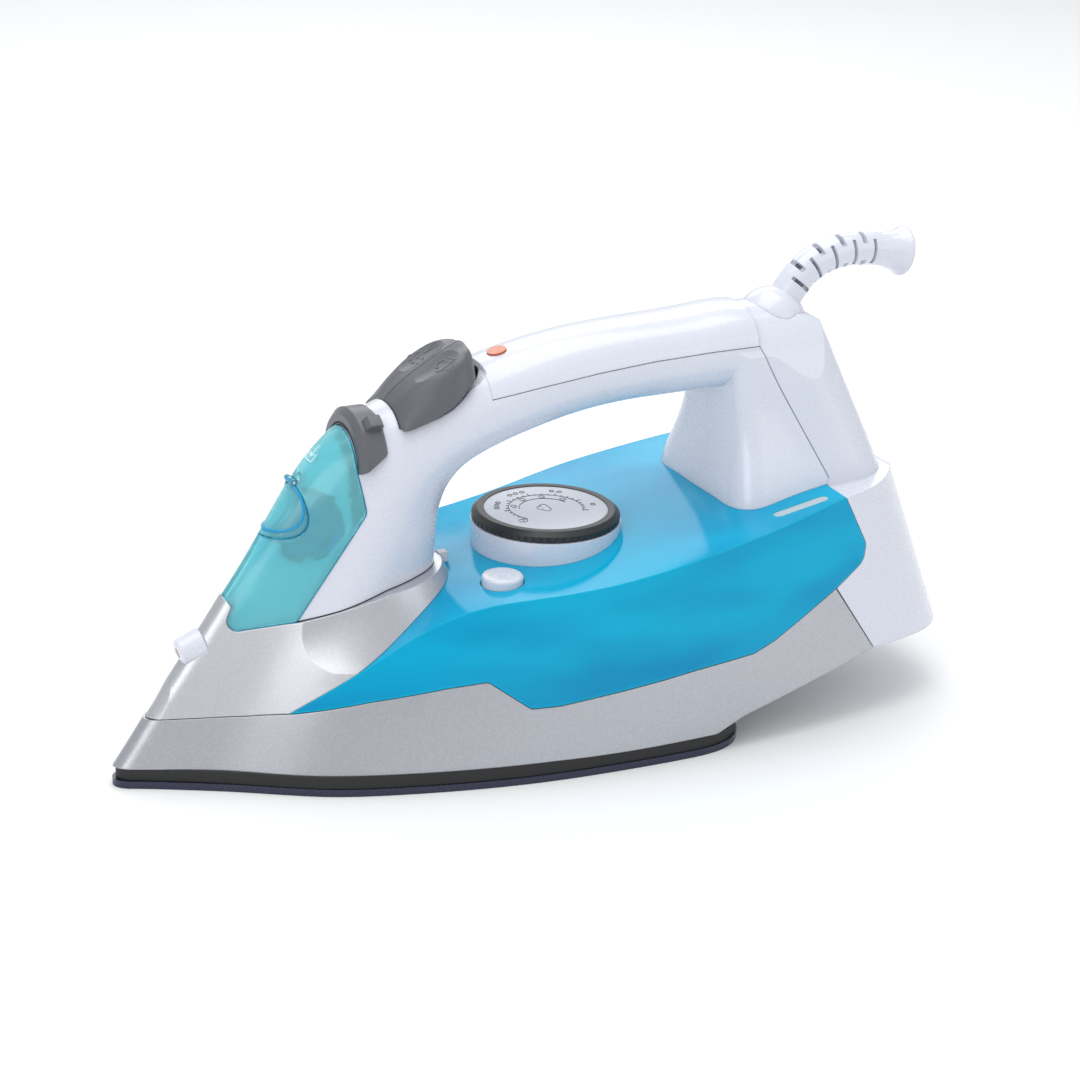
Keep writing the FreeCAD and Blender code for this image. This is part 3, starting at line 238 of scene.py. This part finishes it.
WHITE = gloss_white()
GREY = satin_grey()
STEEL = metal("bright_steel", (0.62, 0.62, 0.64), 0.32)
# Level window: its pale base colour is a painted highlight on the clear strip.
WINDOW_PAINTED_HIGHLIGHT = dull("window_painted_highlight", (0.72, 0.90, 0.95), 0.12, 0.35)
# Third tone of each clear moulding is its painted edge tone: painted highlight on tank and funnel, painted
# shade on the cover.
TANK = clear_blue("tank_blue", tone(0.0, 0.19, 0.46), tone(0.0, 0.44, 0.70), tone(0.0, 0.56, 0.80), 0.10)
COVER = clear_blue("cover_cyan", tone(0.12, 0.72, 0.88), tone(0.34, 0.90, 0.97), tone(0.0, 0.40, 0.72), 0.70)
FUNNEL = clear_blue("funnel_blue", tone(0.0, 0.12, 0.42), tone(0.0, 0.24, 0.58), tone(0.0, 0.3, 0.6), 0.2)

FINISH = {
    "soleplate": sole_coating(),
    # Base ring: the sole's black upper step, painted near-black also as painted shadow of the gap under the
    # skirt.
    "base_ring": black_plastic("black_step_and_gap_shadow", 0.006, 0.5),
    "heater_casting": metal("cast_aluminium", (0.6, 0.6, 0.62), 0.55),
    "heating_element": STEEL,
    "chamber_gasket": dull("red_silicone", (0.5, 0.16, 0.09)),
    "chamber_cover": metal("stamped_plate", (0.6, 0.6, 0.6), 0.4, (1, 12, 1)),
    "chamber_screws": STEEL,
    "thermostat": dull("ceramic", (0.78, 0.76, 0.70)),
    "thermal_fuse": metal("plated_brass", (0.7, 0.55, 0.3), 0.3),
    "shield_posts": STEEL,
    "heat_shield": metal("aluminium_sheet", (0.7, 0.7, 0.71), 0.35, (1, 16, 1)),
    # Lit and shaded copies of one silver paint: the front shroud painted lighter, the lower skirt darker.
    "lower_skirt": lit_and_shaded_silver(0.04),
    "front_shroud": lit_and_shaded_silver(0.16),
    "tank": TANK,
    "tank_floor": TANK,
    "level_window": WINDOW_PAINTED_HIGHLIGHT,
    "front_cover": COVER,
    "filler_lid": COVER,
    "lid_pin": STEEL,
    "filler_funnel": FUNNEL,
    "steam_button": GREY,
    "spray_button": GREY,
    "control_frame": black_plastic("frame_black", 0.02, 0.45),
    "button_pin": STEEL,
    "pump_frame": dull("frame_white", (0.8, 0.8, 0.82)),
    "steam_lever": GREY,
    "lever_pin": STEEL,
    "valve_rod": dull("rod_grey", (0.2, 0.2, 0.21)),
    "valve_seat": metal("brass", (0.72, 0.55, 0.25), 0.3),
    "dial_ring": black_plastic("dial_black", 0.012, 0.36),
    "dial_face": dull("dial_plate", (0.66, 0.68, 0.73), 0.35),
    "dial_shaft": STEEL,
    "dial_pointer": dull("pointer_white", (0.8, 0.8, 0.84)),
    "self_clean_spring": STEEL,
    "pilot_lens": lamp_lens(),
    "pilot_lamp": dull("lamp_glass", (0.9, 0.5, 0.3), 0.3, 0.5),
    "terminal_block": dull("terminal_white", (0.78, 0.76, 0.70)),
    "supply_wires": dull("wire_jacket", (0.35, 0.12, 0.10)),
    "nozzle_jet": metal("jet_brass", (0.72, 0.55, 0.25), 0.3),
    "steam_tube": dull("hose", (0.82, 0.82, 0.80), 0.4, 0.4),
    "spray_tube": dull("spray_hose", (0.82, 0.84, 0.84), 0.4, 0.4),
    "steam_spring": STEEL,
    "spray_spring": STEEL,
    "swivel_socket": dull("socket_white", (0.78, 0.78, 0.80)),
}

for name, node in nodes.items():
    material = FINISH.get(name, WHITE)
    if not node.material_slots:
        node.data.materials.append(material)
    for slot in node.material_slots:
        slot.material = material


# ---- printed and moulded marks -------------------------------------------------------------------
def dark_print():
    s = Shader("dark_print")
    s.set(Base_Color=s.mix(s.noise(1500.0), tone(0.05, 0.05, 0.06), tone(0.10, 0.10, 0.12)))
    s.set(Roughness=s.spread(s.noise(1200.0), 0.4, 0.55))
    return s.material


def pale_print():
    s = Shader("pale_print")
    s.set(Base_Color=s.mix(s.noise(1500.0), tone(0.74, 0.90, 0.94), tone(0.86, 0.96, 0.98)))
    s.set(Roughness=s.spread(s.noise(1200.0), 0.35, 0.5))
    return s.material


def raised_grey():
    s = Shader("raised_grey")
    s.set(Base_Color=s.mix(s.noise(1500.0), tone(0.15, 0.155, 0.17), tone(0.20, 0.205, 0.22)))
    s.set(Roughness=s.spread(s.noise(1200.0), 0.28, 0.4))
    return s.material


def blue_bead():
    s = Shader("blue_bead")
    s.set(Base_Color=s.mix(s.noise(700.0), tone(0.0, 0.24, 0.55), tone(0.0, 0.34, 0.66)))
    s.set(Roughness=s.spread(s.noise(900.0), 0.15, 0.28))
    return s.material


DARK_PRINT = dark_print()
PALE_PRINT = pale_print()
RAISED = raised_grey()


def arc(centre, radius, start, stop, steps=18):
    """Points on an arc, with angles in degrees."""
    turns = [math.radians(start + (stop - start) * i / steps) for i in range(steps + 1)]
    return [(centre[0] + radius * math.cos(t), centre[1] + radius * math.sin(t)) for t in turns]


def finer(line, step):
    """The same polyline with extra points, so that it can follow a curved surface."""
    out = [line[0]]
    for a, b in zip(line, line[1:]):
        count = max(1, math.ceil(math.dist(a, b) / step))
        out += [tuple(a[k] + (b[k] - a[k]) * i / count for k in (0, 1)) for i in range(1, count + 1)]
    return out


def draped(name, lines, on, body, origin, right, up, width, material, lift=0.04 * MM):
    """Flat drawing, in mm, laid on a CAD node's surface as fine ridges.

    right and up span the drawing's plane at origin; each point drops along the plane's normal on to
    the node's own mesh.
    """
    right, up = Vector(right).normalized(), Vector(up).normalized()
    normal = right.cross(up).normalized()
    node = nodes[on]
    curve = bpy.data.curves.new(name, "CURVE")
    curve.dimensions = "3D"
    curve.bevel_depth = width / 2 * MM
    curve.bevel_resolution = 2
    curve.use_fill_caps = True
    for line in lines:
        places = []
        for u, v in finer(line, 0.8):
            start = Vector(origin) + right * (u * MM) + up * (v * MM) + normal * (12 * MM)
            hit, place, _, _ = node.ray_cast(start, -normal)
            if hit:
                places.append(place + normal * lift)
        spline = curve.splines.new("POLY")
        spline.points.add(len(places) - 1)
        for point, place in zip(spline.points, places):
            point.co = (*place, 1.0)
    piece = bpy.data.objects.new(name, curve)
    bpy.context.scene.collection.objects.link(piece)
    piece.data.materials.append(material)
    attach(piece, body)
    return piece


def ring_line(centre, radius):
    return arc(centre, radius, 0, 360, 20)


# Temperature dial: a scale arc, a row of dots for each heat setting and small fabric marks.
dial_middle = middle("dial_face")
dial_origin = (dial_middle.x, dial_middle.y, top_of("dial_face"))


def dial_marks():
    lines = [arc((0, 0), 13.2, -125, 125, 60), arc((0, 0), 9.4, -75, 75, 40)]
    for group, count in ((-100, 1), (-38, 2), (12, 3), (60, 3)):
        for k in range(count):
            turn = math.radians(group + (k - (count - 1) / 2) * 9)
            lines.append(ring_line((17.4 * math.cos(turn), 17.4 * math.sin(turn)), 0.85))
    for degrees in range(-120, 121, 10):
        turn = math.radians(degrees)
        reach = 15.2 if degrees % 40 == 0 else 14.2
        lines.append([(13.2 * math.cos(turn), 13.2 * math.sin(turn)),
                      (reach * math.cos(turn), reach * math.sin(turn))])
    return lines


def dial_symbols():
    """Steam puff in the middle, a stop mark and the little garment shapes along the inner arc."""
    puff = [arc((-1.6, 0.2), 1.5, 60, 300), arc((0.4, 1.2), 1.9, -20, 170), arc((2.2, 0.0), 1.4, -130, 110),
            [(-1.4, -1.4), (2.0, -1.4)]]
    stop = [ring_line((-8.5, 13.0), 1.5), [(-9.5, 13.0), (-7.5, 13.0)]]
    shirt = [(-1.2, -1), (-1.2, 0.6), (-2, 0.2), (-1.6, 1.3), (-0.5, 1.6), (0.5, 1.6), (1.6, 1.3), (2, 0.2),
             (1.2, 0.6), (1.2, -1), (-1.2, -1)]
    lines = puff + stop
    for degrees in (-60, -20, 20, 60):
        turn = math.radians(degrees)
        lines.append([(11.2 * math.cos(turn) + 0.7 * x, 11.2 * math.sin(turn) + 0.7 * y) for x, y in shirt])
    return lines


draped("dial_scale", dial_marks(), "dial_face", "dial", dial_origin, (0, 1, 0), (-1, 0, 0), 0.28, DARK_PRINT)
draped("dial_symbols", dial_symbols(), "dial_face", "dial", dial_origin, (0, 1, 0), (-1, 0, 0), 0.2,
       DARK_PRINT)

# Thumb buttons: a steam puff on one and a spray fan on the other, moulded proud.
STEAM_MARK = [arc((-2.4, 0), 1.7, 40, 320), arc((0.2, 0.5), 2.0, 70, 300), arc((2.6, 0.2), 1.5, -140, 140),
              [(-2.2, -2.4), (3.4, -2.4)]]
SPRAY_MARK = [arc((0, -2.4), 1.2, 200, 340), [(-1.13, -2.8), (0, 0.2), (1.13, -2.8)]]
SPRAY_MARK += [ring_line((x, y), 0.35) for x, y in ((-2.4, 1.6), (0, 2.2), (2.4, 1.6), (-3.6, 3.6), (-1.2, 4.1),
                                                    (1.2, 4.1), (3.6, 3.6))]
BUTTON_MARKS = ((STEAM_MARK, "steam_button", "steam_key"), (SPRAY_MARK, "spray_button", "spray_key"))
for mark, node_name, body in BUTTON_MARKS:
    seat = middle(node_name)
    origin = (seat.x + 3 * MM, seat.y * 0.9, top_of(node_name) - 4 * MM)
    draped(node_name + "_mark", mark, node_name, body, origin, (0, 1, 0), (-1, 0, 0.28), 0.42, RAISED,
           0.08 * MM)

# ---- pale liner behind the clear cover -----------------------------------------------------------
def liner_finish():
    s = Shader("liner_pale")
    shade = s.spread(s.noise(30.0, 2.0), 0.0, 1.0, 0.35, 0.65)
    s.set(Base_Color=s.mix(shade, tone(0.55, 0.88, 0.94), tone(0.90, 0.97, 0.98)))
    s.set(Roughness=s.spread(s.noise(600.0), 0.35, 0.5))
    return s.material


LINER_DEPTH, LINER_THICKNESS, WELL_RADIUS = 3.2 * MM, 0.4 * MM, 12.0 * MM
COVER_SLOPE = Vector((0.519, 0.0, 0.855))
lid_low, lid_high = (Vector(corner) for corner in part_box("filler_lid"))
lid_middle = (lid_low + lid_high) / 2
cover_core = lid_middle + Vector((22 * MM, 0.0, -13 * MM))
well_centre = lid_middle + Vector((9 * MM, -4 * MM, -6 * MM))


def from_core(point):
    """Direction from the cover's long middle line to point."""
    away = point - cover_core
    return (away - COVER_SLOPE * away.dot(COVER_SLOPE)).normalized()


def inner_skin(name, mesh, material):
    data = bpy.data.meshes.new(name)
    mesh.to_mesh(data)
    mesh.free()
    data.materials.clear()
    data.materials.append(material)
    for face in data.polygons:
        face.use_smooth = True
    piece = bpy.data.objects.new(name, data)
    bpy.context.scene.collection.objects.link(piece)
    solid = piece.modifiers.new("thickness", "SOLIDIFY")
    solid.thickness = LINER_THICKNESS
    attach(piece, "iron")
    return piece


def cover_liner():
    """Thin skin inside the cover's wall, open in front of the filler well and clear of the steam lever."""
    mesh = bmesh.new()
    mesh.from_mesh(nodes["front_cover"].data)
    bmesh.ops.remove_doubles(mesh, verts=mesh.verts, dist=0.02 * MM)
    mesh.normal_update()
    inner = [face for face in mesh.faces if face.normal.dot(from_core(face.calc_center_median())) < 0.35]
    bmesh.ops.delete(mesh, geom=inner, context="FACES")
    mesh.normal_update()
    for vertex in mesh.verts:
        vertex.co -= vertex.normal * LINER_DEPTH
    lever_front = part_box("steam_lever")[0][0] - 1.5 * MM
    open_area = [vertex for vertex in mesh.verts
                 if (vertex.co - well_centre).length < WELL_RADIUS or vertex.co.x > lever_front]
    bmesh.ops.delete(mesh, geom=open_area, context="VERTS")
    return inner_skin("cover_liner", mesh, liner_finish())


def well_finish():
    s = Shader("well_blue")
    deep = s.spread(s.noise(40.0, 2.0), 0.0, 1.0, 0.3, 0.7)
    s.set(Base_Color=s.mix(deep, tone(0.0, 0.12, 0.42), tone(0.0, 0.34, 0.70)))
    s.set(Roughness=s.spread(s.noise(600.0), 0.2, 0.35))
    return s.material


def filler_well():
    """Round hollow behind the opening in the liner, where the water goes in."""
    mesh = bmesh.new()
    bmesh.ops.create_icosphere(mesh, subdivisions=4, radius=WELL_RADIUS)
    bmesh.ops.translate(mesh, verts=mesh.verts, vec=well_centre)
    outward = from_core(well_centre)
    proud = [v for v in mesh.verts if (v.co - well_centre).dot(outward) > -1.0 * MM]
    bmesh.ops.delete(mesh, geom=proud, context="VERTS")
    return inner_skin("filler_well", mesh, well_finish())


cover_liner()
filler_well()

# Blue bead round the filler lid.
draped("lid_bead", [ring_line((0, 0), 9.4)], "filler_lid", "lid", lid_middle, (0, -1, 0), COVER_SLOPE, 0.9,
       blue_bead())

# Filling mark on the clear cover: an arrow into a cup.
fill_origin = Vector((lid_high.x + 4.5 * MM, 0.0, lid_high.z + 6.5 * MM))
FILL_MARK = [[(-2.4, 1.0), (-2.4, -2.2), (2.4, -2.2), (2.4, 1.0)], [(0, 4.2), (0, -0.8)],
             [(-1.3, 0.6), (0, -0.8), (1.3, 0.6)]]
draped("fill_mark", FILL_MARK, "front_cover", "iron", fill_origin, (0, -1, 0), (0.67, 0, 0.74), 0.34,
       PALE_PRINT)


# ---- floor, lights and camera --------------------------------------------------------------------
FLOOR_HALF = 6.0


def floor():
    mesh = bpy.data.meshes.new("floor")
    corners = [(x * FLOOR_HALF, y * FLOOR_HALF, 0.0) for x, y in ((-1, -1), (1, -1), (1, 1), (-1, 1))]
    mesh.from_pydata(corners, [], [(0, 1, 2, 3)])
    made = bpy.data.objects.new("floor", mesh)
    bpy.context.scene.collection.objects.link(made)
    s = Shader("pale_floor")
    s.set(Base_Color=s.mix(s.noise(3.0), tone(0.90, 0.90, 0.90), tone(0.92, 0.92, 0.92)), Roughness=0.75)
    s.set(Specular_IOR_Level=0.2)
    made.data.materials.append(s.material)
    return made


def area_light(name, place, target, size, power, tint=(1.0, 1.0, 1.0)):
    data = bpy.data.lights.new(name, "AREA")
    data.shape = "RECTANGLE"
    data.size, data.size_y = size
    data.energy = power
    data.color = tint
    made = bpy.data.objects.new(name, data)
    made.location = place
    made.rotation_euler = (Vector(target) - Vector(place)).to_track_quat("-Z", "Y").to_euler()
    bpy.context.scene.collection.objects.link(made)
    return made


floor()
CENTRE = (0.05, 0.0, 0.07)
area_light("overhead", (0.0, 0.1, 1.3), CENTRE, (1.4, 1.0), 10.0)
area_light("left_front", (-1.1, -0.9, 0.8), CENTRE, (0.8, 0.8), 4.4, (1.0, 0.99, 0.98))
area_light("right_front", (0.9, -1.2, 0.6), CENTRE, (0.9, 0.7), 1.6, (0.97, 0.98, 1.0))
area_light("behind", (0.5, 1.2, 0.9), CENTRE, (1.2, 0.6), 4.0)

world = bpy.data.worlds.new("studio")
bpy.context.scene.world = world
world.use_nodes = True
world.node_tree.nodes["Background"].inputs["Color"].default_value = tone(0.95, 0.97, 1.0)
world.node_tree.nodes["Background"].inputs["Strength"].default_value = 0.66

# The camera stands to the front left of the iron and a little above it.
AZIMUTH, ELEVATION, ROLL = (math.radians(angle) for angle in (-27.2, 21.0, 1.8))
AIM = Vector((0.0501, 0.0, 0.0658))
DISTANCE = 1.1
back = Vector((math.sin(AZIMUTH) * math.cos(ELEVATION), -math.cos(AZIMUTH) * math.cos(ELEVATION),
               math.sin(ELEVATION)))
level = Vector((math.cos(AZIMUTH), math.sin(AZIMUTH), 0.0))
upright = back.cross(level)
right = level * math.cos(ROLL) + upright * math.sin(ROLL)
up = upright * math.cos(ROLL) - level * math.sin(ROLL)
camera_data = bpy.data.cameras.new("camera")
camera_data.sensor_width = 36.0
camera_data.lens = 103.51
camera = bpy.data.objects.new("camera", camera_data)
turn = Matrix((right, up, back)).transposed()
camera.matrix_world = Matrix.Translation(AIM + back * DISTANCE) @ turn.to_4x4()
bpy.context.scene.collection.objects.link(camera)
bpy.context.scene.camera = camera

bpy.context.scene.view_settings.view_transform = "Standard"
